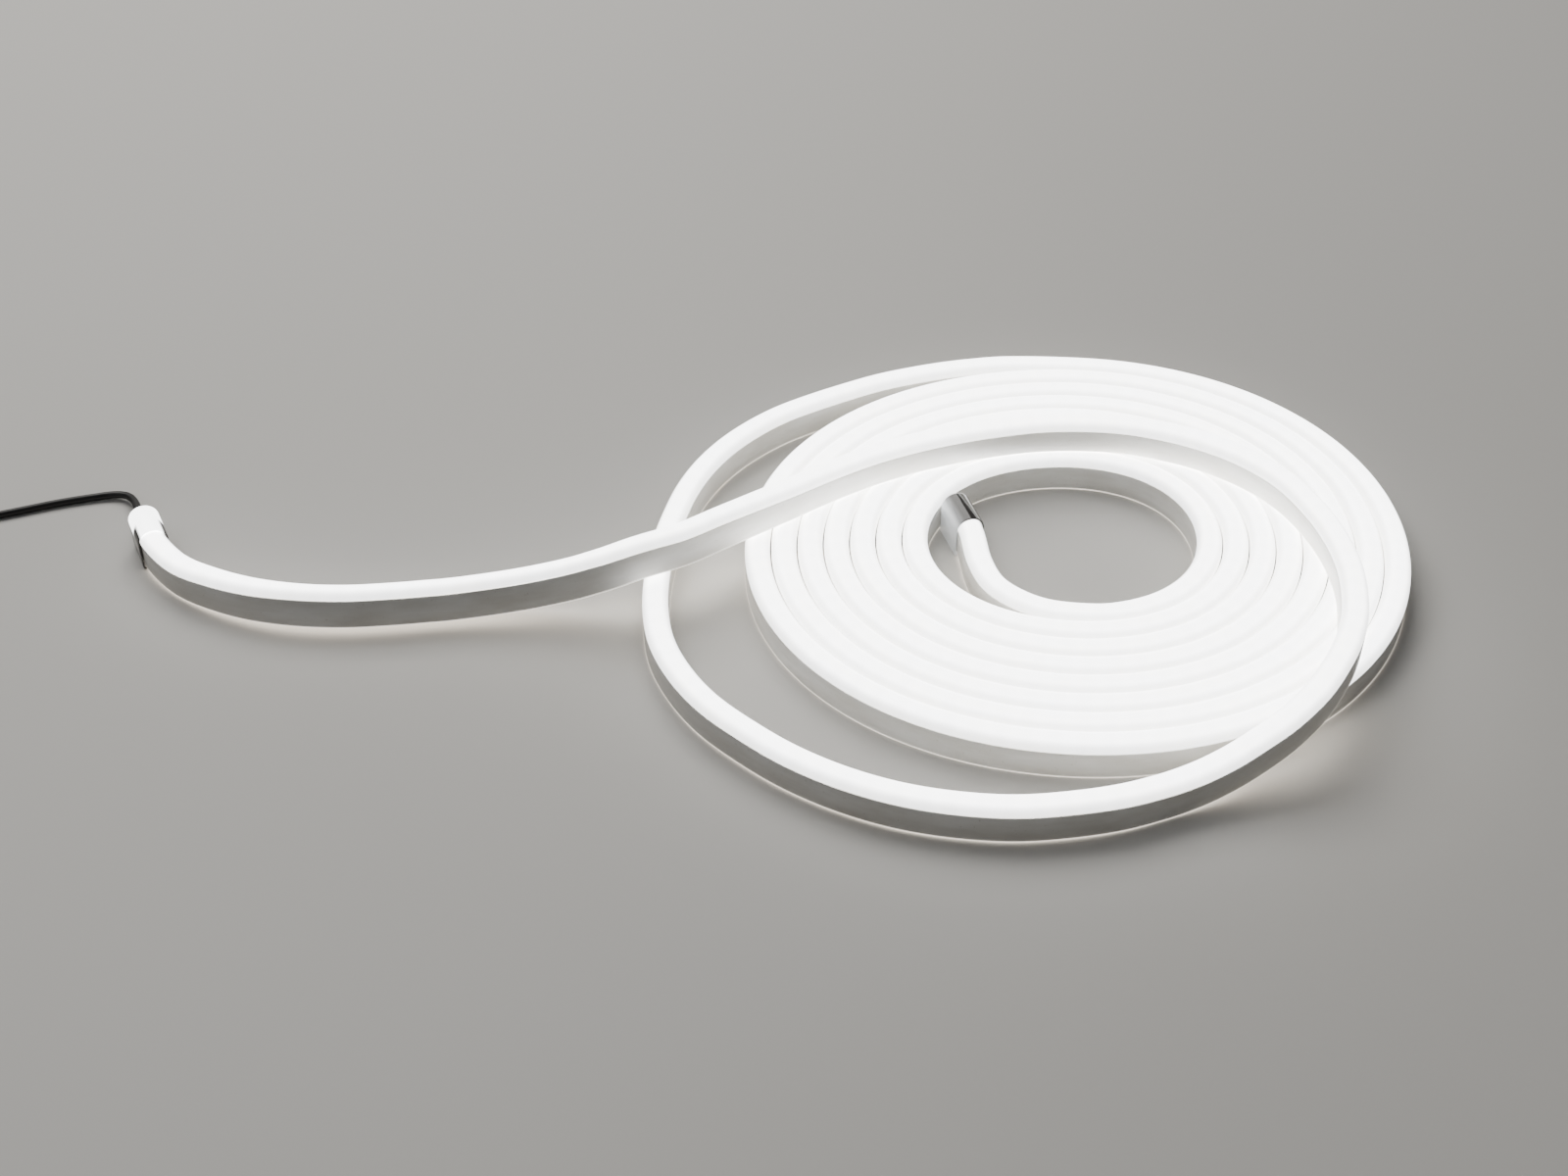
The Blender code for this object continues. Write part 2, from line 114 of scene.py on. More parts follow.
def smooth_path(knots, before, after, lowest=0.0):
    """Centripetal spline through the knots, with a point about every PATH_STEP.

    The points before and after only steer its ends. No height falls below the lowest."""
    points = [before, *knots, after]
    path = []
    for p0, p1, p2, p3 in zip(points, points[1:], points[2:], points[3:]):
        times = [0.0]
        for a, b in ((p0, p1), (p1, p2), (p2, p3)):
            reach = sqrt(sum((b[k] - a[k]) ** 2 for k in range(3)))
            times.append(times[-1] + sqrt(max(reach, 1e-9)))
        t0, t1, t2, t3 = times
        steps = max(1, round((t2 - t1) ** 2 / PATH_STEP))
        for step in range(steps):
            t = t1 + (t2 - t1) * step / steps
            a1 = mix(p0, p1, t, t0, t1)
            a2 = mix(p1, p2, t, t1, t2)
            a3 = mix(p2, p3, t, t2, t3)
            b1 = mix(a1, a2, t, t0, t2)
            b2 = mix(a2, a3, t, t1, t3)
            x, y, z, *rest = mix(b1, b2, t, t1, t2)
            path.append((x, y, max(z, lowest), *rest))
    path.append(knots[-1])
    return path


def length_of(path):
    return sum((Vector(b[:3]) - Vector(a[:3])).length for a, b in zip(path, path[1:]))


# %% [markdown]
# ## Small helpers for pieces
# A poly curve carries a path into Blender. Every mesh is finished in the same way: its
# faces look outwards, round parts are shaded smooth and edges stay crisp.

# %% Piece helpers
def poly_curve(name, path):
    """An object with a curve straight from point to point."""
    curve = bpy.data.curves.new(name, "CURVE")
    curve.dimensions = "3D"
    spline = curve.splines.new("POLY")
    spline.points.add(len(path) - 1)
    for point, place in zip(spline.points, path):
        point.co = (*place[:3], 1.0)
    guide = bpy.data.objects.new(name, curve)
    bpy.context.scene.collection.objects.link(guide)
    return guide


def evaluated_mesh(guide):
    """What a curve and its modifiers come to, as a plain mesh."""
    shape = guide.evaluated_get(bpy.context.evaluated_depsgraph_get())
    return bpy.data.meshes.new_from_object(shape)


def finished(name, mesh, mesh_data, smooth):
    """Fill a mesh and make it a piece. Edges sharper than smooth, in degrees, stay crisp."""
    bmesh.ops.recalc_face_normals(mesh_data, faces=mesh_data.faces)
    mesh_data.to_mesh(mesh)
    mesh_data.free()
    mesh.name = name
    mesh.shade_smooth()
    mesh.set_sharp_from_angle(angle=radians(smooth))
    piece = bpy.data.objects.new(name, mesh)
    bpy.context.scene.collection.objects.link(piece)
    return piece


def new_piece(name, mesh_data, material, smooth=40.0):
    mesh = bpy.data.meshes.new(name)
    mesh.materials.append(material)
    return finished(name, mesh, mesh_data, smooth)


# %% [markdown]
# ## Colour and node helpers
# Colours are written as the hex values of a colour picker, and one function turns them
# to the linear values that a shader works with. Two more add a node and feed its
# inputs, each with a value or with what another node gives out.

# %% Material helpers
def linear(hex_colour):
    parts = [int(hex_colour[k:k + 2], 16) / 255 for k in (1, 3, 5)]
    return [p / 12.92 if p <= 0.04045 else ((p + 0.055) / 1.055) ** 2.4 for p in parts] + [1.0]


def feed(tree, node, **inputs):
    """Give inputs of a node a value or a socket. Key _2 means the input with number 2."""
    for key, value in inputs.items():
        number = key[1:]
        socket = node.inputs[int(number) if number.isdigit() else key.replace("_", " ")]
        if isinstance(value, bpy.types.NodeSocket):
            tree.links.new(value, socket)
        else:
            socket.default_value = value


def add(tree, kind, settings=None, **inputs):
    """Add one node. Settings are its own options, the rest are its inputs."""
    node = tree.nodes.new(kind)
    for key, value in (settings or {}).items():
        setattr(node, key, value)
    feed(tree, node, **inputs)
    return node


def new_material(name):
    material = bpy.data.materials.new(name)
    material.use_nodes = True
    tree = material.node_tree
    return material, tree, tree.nodes["Principled BSDF"]


# %% [markdown]
# ## Short names for common nodes
# Arithmetic, ranges, colour mixes, noise and relief come up in nearly every material.
# Each gets a function that returns what the node gives out, so that a material below
# reads as a short list.

# %% Common nodes
def maths(tree, operation, *values):
    """Result of one step of arithmetic."""
    inputs = {f"_{k}": value for k, value in enumerate(values)}
    return add(tree, "ShaderNodeMath", {"operation": operation}, **inputs).outputs[0]


def combine(tree, **axes):
    return add(tree, "ShaderNodeCombineXYZ", None, **axes).outputs[0]


def remap(tree, value, start, end, low=0.0, high=1.0, curve="LINEAR"):
    """Value carried over from the range start to end into the range low to high."""
    return add(tree, "ShaderNodeMapRange", {"interpolation_type": curve}, Value=value,
               From_Min=start, From_Max=end, To_Min=low, To_Max=high).outputs[0]


def blend(tree, share, first, second):
    """Mix of two colours. They go into inputs 6 and 7 and come out of output 2."""
    return add(tree, "ShaderNodeMix", {"data_type": "RGBA"}, Factor=share, _6=first,
               _7=second).outputs[2]


def noise(tree, place, scale, detail, roughness=0.5):
    """Noise from 0 to 1 with marks about one unit wide, divided by the scale."""
    return add(tree, "ShaderNodeTexNoise", None, Vector=place, Scale=scale, Detail=detail,
               Roughness=roughness).outputs["Fac"]


def relief(tree, height, strength, distance):
    return add(tree, "ShaderNodeBump", None, Strength=strength, Distance=distance,
               Height=height).outputs[0]


def object_place(tree):
    return add(tree, "ShaderNodeTexCoord").outputs["Object"]


# %% [markdown]
# ## Route of the power lead
# The lead is a thin black twin cord of a low voltage supply. It leaves the outer cap
# through a short gland, drops to the floor and runs out of the picture on the left.
# The rest of its length is wound into a small tied coil just outside the view, and
# ends in a barrel plug. A real coil is a bundle, so each turn gets a seat of its own
# in the bundle: nine seats round three. The cord changes seats under the tie. Heights
# on the way are counted in diameters of the cord.

# %% Lead sizes and seats
GAP = 0.0003
OUTER_MOUTH = from_coil(-324.4, -4.5)
OUTER_HEADING = 116.5
CAP_LENGTH = 0.0165
GLAND_LENGTH = 0.0040
GLAND_HEIGHT = 0.0065
LEAD_DIAMETER = 0.0028
LEAD_HEADING = 162.0
LEAD_EXIT = step_from((*OUTER_MOUTH, GLAND_HEIGHT), OUTER_HEADING,
                      CAP_LENGTH + GLAND_LENGTH + 2 * GAP)
LEAD_POINTS = [
    (-337.6, 22.0, 1.90), (-341.3, 29.8, 1.30), (-345.6, 34.9, 0.88), (-351.0, 36.4, 0.62),
    (-358.0, 35.2, 0.52), (-370.3, 31.7, 0.50), (-380.1, 28.0, 0.50), (-389.9, 24.3, 0.50),
    (-399.0, 21.0, 0.70), (-408.0, 18.0, 1.50),
]
LEAD_COIL_RADIUS = 0.0155
BUNDLE_RADIUS = 0.0056746
RING_SEATS = 4.24 * MM
CORE_SEATS = 1.62 * MM


def bundle_seats():
    """Places in the bundle as (outward, up) from its middle, in the order of the turns."""
    seats = [(RING_SEATS, a) for a in (-20, -60, -100, -140, 180)]
    seats += [(CORE_SEATS, a) for a in (240, 0, 120)]
    seats += [(RING_SEATS, a) for a in (140, 100, 60, 20)]
    return [(r * cos(radians(a)), r * sin(radians(a))) for r, a in seats]


SEATS = bundle_seats()
print("lead leaves the gland at", [round(c, 4) for c in LEAD_EXIT], "seats:", len(SEATS))

# %% [markdown]
# ## How the lead meets its coil
# The cord comes straight at the coil, bends aside on an arc and joins the ring on a
# tangent, as a wound cord does. It leaves the far side the same way. Working out where
# arc and ring touch is one right triangle.

# %% Lead coil
LEAD_STRAIGHT = 0.0025
LEAD_COIL_REACH = 0.010
LEAD_BEND = 0.008
ARC_STEPS = 5
CHANGE_START = 0.86
CHANGE_SHARE = 0.12


def lead_coil_centre():
    x, y = from_coil(*LEAD_POINTS[-1][:2])
    reach = LEAD_COIL_REACH + LEAD_STRAIGHT + LEAD_COIL_RADIUS + BUNDLE_RADIUS + GAP
    return step_from((x, y, BUNDLE_RADIUS), LEAD_HEADING, reach)


def join_arc(radius):
    """Arc from the straight line to the ring, as (distance, aside), and where it ends."""
    leave = sqrt((radius + LEAD_BEND) ** 2 - LEAD_BEND ** 2)
    touch = atan(LEAD_BEND / leave)
    turns = [(pi / 2 - touch) * k / ARC_STEPS for k in range(ARC_STEPS)]
    return [(leave - LEAD_BEND * sin(t), LEAD_BEND - LEAD_BEND * cos(t)) for t in turns], touch


def seat_after(sweep):
    """Seat in the bundle, as (outward, up), after an angle round the coil."""
    turn = min(int(sweep / (2 * pi)), len(SEATS) - 1)
    change = eased((sweep / (2 * pi) - turn - CHANGE_START) / CHANGE_SHARE)
    here, after = SEATS[turn], SEATS[min(turn + 1, len(SEATS) - 1)]
    return mix(here, after, change, 0, 1)


print("lead coil centre", [round(c, 4) for c in lead_coil_centre()])

# %% [markdown]
# ## Path of the power lead
# From the gland over the floor to the coil, round it turn by turn, and out on the far
# side to the plug, which lies on the floor and holds the cord's end up at its own axis.

# %% Lead path
LEAD_TAIL = 0.030
LEAD_BEYOND = 0.006
PLUG_RADIUS = 0.0046
TURN_STEPS = 24


def lead_route():
    """The whole lead: down from the gland, along the floor, round the coil, to the plug."""
    centre = lead_coil_centre()
    away = direction(LEAD_HEADING - 180)
    aside = (-away[1], away[0])

    def around(distance, side, height):
        x = centre[0] + away[0] * distance + aside[0] * side
        y = centre[1] + away[1] * distance + aside[1] * side
        return x, y, height

    knots = [LEAD_EXIT, step_from(LEAD_EXIT, OUTER_HEADING, LEAD_STRAIGHT)]
    knots += [from_coil(x, y, up * LEAD_DIAMETER) for x, y, up in LEAD_POINTS]
    first, last = SEATS[0], SEATS[-1]
    arc, touch = join_arc(LEAD_COIL_RADIUS + first[0])
    knots += [around(d, s, BUNDLE_RADIUS + first[1]) for d, s in arc]
    turns = len(SEATS) - 0.5
    steps = int(turns * TURN_STEPS)
    for k in range(steps + 1):
        sweep = touch + (2 * pi * turns - 2 * touch) * k / steps
        outward, up = seat_after(sweep)
        out = LEAD_COIL_RADIUS + outward
        knots.append(around(out * cos(sweep), out * sin(sweep), BUNDLE_RADIUS + up))
    arc, _ = join_arc(LEAD_COIL_RADIUS + last[0])
    knots += [around(-d, s, BUNDLE_RADIUS + last[1]) for d, s in reversed(arc)]
    tail = LEAD_COIL_RADIUS + BUNDLE_RADIUS + GAP + LEAD_TAIL
    knots += [around(-d, 0.0, PLUG_RADIUS) for d in (tail - LEAD_STRAIGHT, tail)]
    before = step_from(knots[0], OUTER_HEADING + 180, LEAD_BEYOND)
    after = step_from(knots[-1], LEAD_HEADING, LEAD_BEYOND)
    return smooth_path(knots, before, after, LEAD_DIAMETER / 2)


LEAD_PATH = lead_route()
print("lead length", round(length_of(LEAD_PATH), 3), "m in", len(LEAD_PATH), "points")

# %% [markdown]
# ## Route of the strip
# The coil is a spiral by formula: each turn is one strip width and a hair further out,
# and the whole is a little oval, as a hand leaves it. Each row of waves holds how often
# the radius swells in one turn, the cosine and sine parts in millimetres at the inner
# end, and what both gain by the last turn. The loose part follows points read off the
# object: x, y, height as a share of the seat on top of the coil, and the lean of the
# strip to its left, in degrees. On the floor at the left the strip stands tilted on its
# edge, which shows more of its wall.

# %% Strip sizes and route points
WIDTH = 0.0088
JACKET_HEIGHT = 0.0098
STRIP_HEIGHT = 0.0140
CAP_WALL = 0.0007
CAP_GRIP = 0.0070
END_RAMP = 0.030
COIL_TURNS = 7.5
STATIONS_PER_TURN = 40
FIRST_RADIUS = 46.05 * MM
TURN_PITCH = 9.25 * MM
INNER_HEADING = 105.5
INNER_MOUTH = from_coil(-34.4, 2.4)
INNER_POINTS = [(-32.2, -16.5), (-27.9, -29.3), (-19.9, -37.9), (-10.3, -43.0)]
COIL_WAVES = [
    (1, 0.78, -1.32, 0.22, 0.24),
    (2, 1.88, 0.95, 0.61, 1.84),
    (3, -0.28, 0.07, -0.03, -0.10),
    (4, -0.26, 0.10, 0.00, 0.00),
]
LOOSE_POINTS = [
    (-12.8, 112.4, 0.00, 0), (-25.5, 110.7, 0.00, 0), (-38.0, 108.0, 0.00, 0),
    (-50.5, 104.2, 0.00, 0), (-63.4, 99.3, 0.00, 0), (-76.2, 92.7, 0.00, 0),
    (-89.2, 85.2, 0.00, 0), (-102.0, 76.6, 0.00, 0), (-112.6, 66.9, 0.00, 0),
    (-122.2, 55.4, 0.00, 0), (-130.3, 41.9, 0.00, 0), (-136.1, 27.8, 0.00, 0),
    (-140.1, 12.6, 0.00, 0), (-143.4, -5.0, 0.00, 0), (-145.0, -25.5, 0.00, 0),
    (-144.5, -43.0, 0.00, 0), (-141.6, -59.4, 0.00, 0), (-135.0, -75.4, 0.00, 0),
    (-125.6, -90.2, 0.00, 1), (-113.0, -103.5, 0.00, 2), (-98.6, -115.5, 0.00, 2),
    (-81.8, -125.6, 0.00, 2), (-64.6, -132.5, 0.00, 2), (-47.3, -136.3, 0.00, 2),
    (-29.9, -137.6, 0.00, 2), (-12.4, -135.9, 0.00, 2), (2.6, -132.6, 0.00, 1),
    (17.0, -127.3, 0.00, 0), (29.6, -121.9, 0.07, 0), (42.2, -116.0, 0.28, 0),
    (54.3, -109.7, 0.63, 0), (60.4, -105.2, 0.81, 0), (67.4, -98.1, 0.94, 0),
    (75.8, -85.7, 1.00, 0), (81.0, -76.0, 1.00, 0), (85.8, -64.0, 1.00, 0),
    (89.0, -51.0, 1.00, 2), (90.6, -37.0, 1.00, 4), (89.8, -21.5, 1.00, 6),
    (86.5, -5.5, 1.00, 8), (78.6, 13.4, 1.00, 8), (66.2, 28.5, 1.00, 8),
    (52.5, 38.6, 1.00, 8), (38.1, 45.4, 1.00, 8), (23.2, 49.6, 1.00, 8),
    (6.9, 50.9, 1.00, 8), (-7.4, 50.2, 1.00, 8), (-22.8, 47.2, 1.00, 8),
    (-37.9, 42.8, 1.00, 7), (-52.3, 37.3, 1.00, 6), (-67.8, 29.6, 1.00, 4),
    (-82.5, 20.4, 1.00, 3), (-96.6, 10.1, 1.00, 1), (-110.1, -0.5, 1.00, -3),
    (-123.3, -11.0, 1.00, -7), (-136.4, -21.2, 1.00, -10), (-149.6, -28.6, 1.00, -13),
    (-159.0, -31.1, 0.80, -15), (-170.0, -31.9, 0.52, -17), (-185.0, -32.7, 0.26, -18),
    (-201.5, -34.2, 0.09, -19), (-218.1, -35.9, 0.00, -19), (-234.4, -38.0, 0.00, -19),
    (-250.8, -39.3, 0.00, -19), (-267.5, -38.3, 0.00, -18), (-284.7, -33.6, 0.00, -12),
    (-300.5, -26.0, 0.00, -6), (-313.3, -17.0, 0.00, 0),
]
print("loose points:", len(LOOSE_POINTS))

# %% [markdown]
# ## Path of the strip
# Spiral and loose points are joined to one path from the inner cut end to the outer
# one. Both ends rise a millimetre onto the floors of their caps.

# %% Strip path
def coil_point(turns):
    """Middle of the strip's underside in the coil, counted in turns from the front."""
    angle = radians(-90) + 2 * pi * turns
    share = turns / COIL_TURNS
    radius = FIRST_RADIUS + TURN_PITCH * turns
    for waves, cosine, sine, more_cosine, more_sine in COIL_WAVES:
        radius += MM * (cosine + more_cosine * share) * cos(waves * angle)
        radius += MM * (sine + more_sine * share) * sin(waves * angle)
    return COIL_X + radius * cos(angle), COIL_Y + radius * sin(angle), 0.0, 0.0


def strip_route():
    """Stations (x, y, base, lean) from the inner end of the strip to its outer end."""
    inner = (*INNER_MOUTH, 0.0, 0.0)
    outer = (*OUTER_MOUTH, 0.0, 0.0)
    seat = STRIP_HEIGHT + GAP
    last = ceil(COIL_TURNS * STATIONS_PER_TURN)
    knots = [inner]
    knots += [from_coil(x, y, 0.0, 0.0) for x, y in INNER_POINTS]
    knots += [coil_point(k / STATIONS_PER_TURN) for k in range(1, last)]
    knots += [from_coil(x, y, lift * seat, radians(lean)) for x, y, lift, lean in LOOSE_POINTS]
    knots.append(outer)
    path = smooth_path(knots, step_from(inner, INNER_HEADING, CAP_LENGTH),
                       step_from(outer, OUTER_HEADING, CAP_LENGTH))
    path.insert(0, step_from(inner, INNER_HEADING, CAP_GRIP))
    path.append(step_from(outer, OUTER_HEADING, CAP_GRIP))
    return raise_ends(path)


def raise_ends(path):
    """Lift both ends onto the floors of their caps, over the length of a ramp."""
    travelled = [0.0]
    for a, b in zip(path, path[1:]):
        travelled.append(travelled[-1] + hypot(b[0] - a[0], b[1] - a[1]))
    raised = []
    for (x, y, base, lean), run in zip(path, travelled):
        to_mouth = min(run, travelled[-1] - run) - CAP_GRIP - GAP
        lift = (CAP_WALL + GAP) * eased(1 - to_mouth / END_RAMP)
        raised.append((x, y, base + lift, lean))
    return raised


STRIP_PATH = strip_route()
print("strip length", round(length_of(STRIP_PATH), 3), "m in", len(STRIP_PATH), "stations")

# %% [markdown]
# ## The strip as a guide curve
# A leaning strip stands on its lower edge, so the middle of its underside shifts a
# little aside and up. The guide curve runs through that middle, and its tilt carries
# the lean. With the twist mode on Z up, the section never rolls over by itself.

# %% Guide curve
def guide_points(path):
    """Middle of the leaning underside at each station, with the lean."""
    last = len(path) - 1
    points = []
    for k, (x, y, base, lean) in enumerate(path):
        a, b = path[max(k - 1, 0)], path[min(k + 1, last)]
        reach = hypot(b[0] - a[0], b[1] - a[1])
        left = ((a[1] - b[1]) / reach, (b[0] - a[0]) / reach)
        pivot = 0.0 if lean == 0.0 else WIDTH / 2 * (1 if lean > 0 else -1)
        shift = pivot * (1 - cos(lean))
        points.append((x + left[0] * shift, y + left[1] * shift, base + pivot * sin(lean), lean))
    return points


def guide_curve(name, path):
    points = guide_points(path)
    guide = poly_curve(name, points)
    guide.data.twist_mode = "Z_UP"
    for point, (*_, lean) in zip(guide.data.splines[0].points, points):
        point.tilt = -lean
    return guide


guide = guide_curve("strip guide", STRIP_PATH)
print("guide curve with", len(guide.data.splines[0].points), "points")

# %% [markdown]
# ## Node trees that extrude a section along the guide
# A factory pushes silicone through a die, and Curve to Mesh does the same with a
# profile. Three named attributes ride along: run is the distance from the inner end,
# up the height in the section, across the place from side to side. The materials use
# them for marks that follow the strip.

# %% Extrusion
def start_tree(name, sizes):
    tree = bpy.data.node_groups.new(name, "GeometryNodeTree")
    tree.interface.new_socket("Geometry", in_out="INPUT", socket_type="NodeSocketGeometry")
    for size, value in sizes.items():
        socket = tree.interface.new_socket(size, in_out="INPUT", socket_type="NodeSocketFloat")
        socket.default_value = value
    tree.interface.new_socket("Material", in_out="INPUT", socket_type="NodeSocketMaterial")
    tree.interface.new_socket("Geometry", in_out="OUTPUT", socket_type="NodeSocketGeometry")
    return tree, tree.nodes.new("NodeGroupInput"), tree.nodes.new("NodeGroupOutput")


def store(tree, geometry, name, value):
    """Keep a number on every point under a name."""
    options = {"data_type": "FLOAT", "domain": "POINT"}
    node = add(tree, "GeometryNodeStoreNamedAttribute", options, Geometry=geometry, Name=name)
    socket = next(s for s in node.inputs if s.name == "Value" and s.enabled)
    tree.links.new(value, socket)
    return node.outputs[0]


def extrude(tree, entry, leave, profile):
    """Sweep a profile along the guide, with its attributes, ends closed."""
    position = add(tree, "GeometryNodeInputPosition").outputs[0]
    place = add(tree, "ShaderNodeSeparateXYZ", None, Vector=position)
    profile = store(tree, profile, "up", maths(tree, "MULTIPLY", place.outputs["Y"], -1.0))
    profile = store(tree, profile, "across", place.outputs["X"])
    run = add(tree, "GeometryNodeSplineParameter").outputs["Length"]
    path = store(tree, entry.outputs["Geometry"], "run", run)
    swept = add(tree, "GeometryNodeCurveToMesh", None, Curve=path, Profile_Curve=profile,
                Fill_Caps=True)
    real = add(tree, "GeometryNodeRealizeInstances", None, Geometry=swept.outputs[0])
    painted = add(tree, "GeometryNodeSetMaterial", None, Geometry=real.outputs[0],
                  Material=entry.outputs["Material"])
    feed(tree, leave, Geometry=painted.outputs[0])


# %% [markdown]
# ## The two profiles
# The jacket's profile is a rectangle with small rounded corners, the diffuser's is half
# an ellipse on a flat base. Both are drawn flat, with the strip's height counted
# downwards, because Curve to Mesh turns the profile's minus Y to the top of the strip.

# %% Profiles
JACKET_CORNER = 0.0003
DOME_RISE = 0.0039
DOME_POINTS = 17


def jacket_tree():
    sizes = {"Width": WIDTH, "Height": JACKET_HEIGHT, "Corner": JACKET_CORNER}
    tree, entry, leave = start_tree("extrude jacket", sizes)
    outline = add(tree, "GeometryNodeCurvePrimitiveQuadrilateral", None,
                  Width=entry.outputs["Width"], Height=entry.outputs["Height"])
    rounded = add(tree, "GeometryNodeFilletCurve", {"mode": "POLY"}, Curve=outline.outputs[0],
                  Radius=entry.outputs["Corner"], Count=2)
    shift = combine(tree, Y=maths(tree, "MULTIPLY", entry.outputs["Height"], -0.5))
    placed = add(tree, "GeometryNodeTransform", None, Geometry=rounded.outputs[0],
                 Translation=shift)
    extrude(tree, entry, leave, placed.outputs[0])
    return tree


def diffuser_tree():
    sizes = {"Width": WIDTH, "Rise": DOME_RISE, "Foot": JACKET_HEIGHT + GAP}
    tree, entry, leave = start_tree("extrude diffuser", sizes)
    half = maths(tree, "MULTIPLY", entry.outputs["Width"], 0.5)
    arc = add(tree, "GeometryNodeCurveArc", {"mode": "RADIUS"}, Resolution=DOME_POINTS,
              Radius=half, Start_Angle=0.0, Sweep_Angle=pi)
    squash = maths(tree, "DIVIDE", entry.outputs["Rise"], half)
    scale = combine(tree, X=1.0, Y=maths(tree, "MULTIPLY", squash, -1.0), Z=1.0)
    shift = combine(tree, Y=maths(tree, "MULTIPLY", entry.outputs["Foot"], -1.0))
    placed = add(tree, "GeometryNodeTransform", None, Geometry=arc.outputs[0],
                 Translation=shift, Scale=scale)
    closed = add(tree, "GeometryNodeSetSplineCyclic", None, Geometry=placed.outputs[0],
                 Cyclic=True)
    extrude(tree, entry, leave, closed.outputs[0])
    return tree


# %% [markdown]
# ## White silicone of the jacket
# Co-extruded silicone is opaque white and satin. The die leaves very fine lines along
# the strip, handling leaves faint matt patches, and dust clings to it. The base under
# the tape is thin and lets some light out downwards. It shows as a thin warm line at
# the foot of the walls, and it lights the floor where the strip leans or is lifted.
# The real die lines are about 0.05 mm apart; they are drawn 0.4 mm apart, or they
# would not show.

# %% Jacket material
SILICONE_IOR = 1.41
DIE_LINES = (0.060, 0.0004)
HANDLED_PATCHES = (0.022, 0.006)
DUST_SCALE = 900.0
FOOT_LINE = (0.0002, 0.0006)
FOOT_GLOW = 1.5


def strip_value(tree, name):
    """One of the numbers kept on the strip: run, up or across."""
    return add(tree, "ShaderNodeAttribute", {"attribute_name": name}).outputs["Fac"]


def along_strip(tree, step_run, step_round):
    """Coordinates that follow the strip. One unit is a step, along it or round it."""
    return combine(tree, X=maths(tree, "DIVIDE", strip_value(tree, "run"), step_run),
                   Y=maths(tree, "DIVIDE", strip_value(tree, "up"), step_round),
                   Z=maths(tree, "DIVIDE", strip_value(tree, "across"), step_round))


def white_silicone():
    material, tree, shader = new_material("white silicone, extruded")
    lines = noise(tree, along_strip(tree, *DIE_LINES), 1.0, 2.0)
    patches = noise(tree, along_strip(tree, *HANDLED_PATCHES), 1.0, 3.0, 0.55)
    tone = add(tree, "ShaderNodeValToRGB", None, Fac=patches)
    for stop, position, colour in zip(tone.color_ramp.elements, (0.30, 0.68),
                                      ("#DEDBD4", "#EFEEEA")):
        stop.position = position
        stop.color = linear(colour)
    specks = noise(tree, object_place(tree), DUST_SCALE, 1.0)
    dust = remap(tree, specks, 0.70, 0.78, 0.0, 0.35)
    feed(tree, shader, Base_Color=blend(tree, dust, tone.outputs[0], linear("#B9B2A4")),
         Roughness=remap(tree, patches, 0.3, 0.7, 0.38, 0.52),
         Normal=relief(tree, lines, 0.12, 0.0002),
         Emission_Color=linear("#FFF6EA"),
         Emission_Strength=remap(tree, strip_value(tree, "up"), *FOOT_LINE, FOOT_GLOW, 0.0),
         IOR=SILICONE_IOR)
    return material


JACKET_WHITE = white_silicone()
print("jacket material:", JACKET_WHITE.name)

# %% [markdown]
# ## Milky silicone of the diffuser, lit
# The dome is milky and glows evenly, because the tape under it has a light every few
# millimetres. It is brighter on its crown than at its edges, where the light has a
# longer way through the silicone, and the single lights can only just be told apart.
# That faint rhythm is worked from the real pitch, 120 lights a metre.

# %% Diffuser material
LIGHT_PITCH = 1 / 120
LIGHT_RIPPLE = 0.02
GLOW = 7.0
EDGE_GLOW = 0.45 * GLOW
CROWN = (0.0020, 0.0044)
MILK_CLOUDS = (0.030, 0.004)


def milky_silicone():
    material, tree, shader = new_material("milky silicone, lit")
    phase = maths(tree, "MULTIPLY", strip_value(tree, "run"), 2 * pi / LIGHT_PITCH)
    rhythm = maths(tree, "MULTIPLY_ADD", maths(tree, "COSINE", phase), LIGHT_RIPPLE, 1.0)
    side = maths(tree, "ABSOLUTE", strip_value(tree, "across"))
    crown = remap(tree, side, *CROWN, GLOW, EDGE_GLOW, "SMOOTHSTEP")
    clouds = noise(tree, along_strip(tree, *MILK_CLOUDS), 1.0, 2.0)
    feed(tree, shader, Base_Color=linear("#D6D5D1"),
         Roughness=remap(tree, clouds, 0.0, 1.0, 0.28, 0.42),
         Emission_Color=blend(tree, clouds, linear("#FFFCF6"), linear("#F7FAFF")),
         Emission_Strength=maths(tree, "MULTIPLY", crown, rhythm),
         IOR=SILICONE_IOR)
    return material


DOME_MILK = milky_silicone()
print("diffuser material:", DOME_MILK.name)

# %% [markdown]
# ## Extruding jacket and diffuser
# Both run on the same guide curve, one after the other, so that the dome sits exactly
# on its jacket over all five metres. A modifier knows its inputs by identifier only, so
# each name is looked up in the tree first.

# %% Make the strip
def run_tree(guide, tree, name, **inputs):
    """Run a tree on a guide with named inputs and keep the result as a plain mesh piece."""
    modifier = guide.modifiers.new("shape", "NODES")
    modifier.node_group = tree
    identifiers = {item.name: item.identifier for item in tree.interface.items_tree}
    for key, value in inputs.items():
        modifier[identifiers[key]] = value
    mesh = evaluated_mesh(guide)
    guide.modifiers.remove(modifier)
    mesh_data = bmesh.new()
    mesh_data.from_mesh(mesh)
    return finished(name, mesh, mesh_data, 50.0)


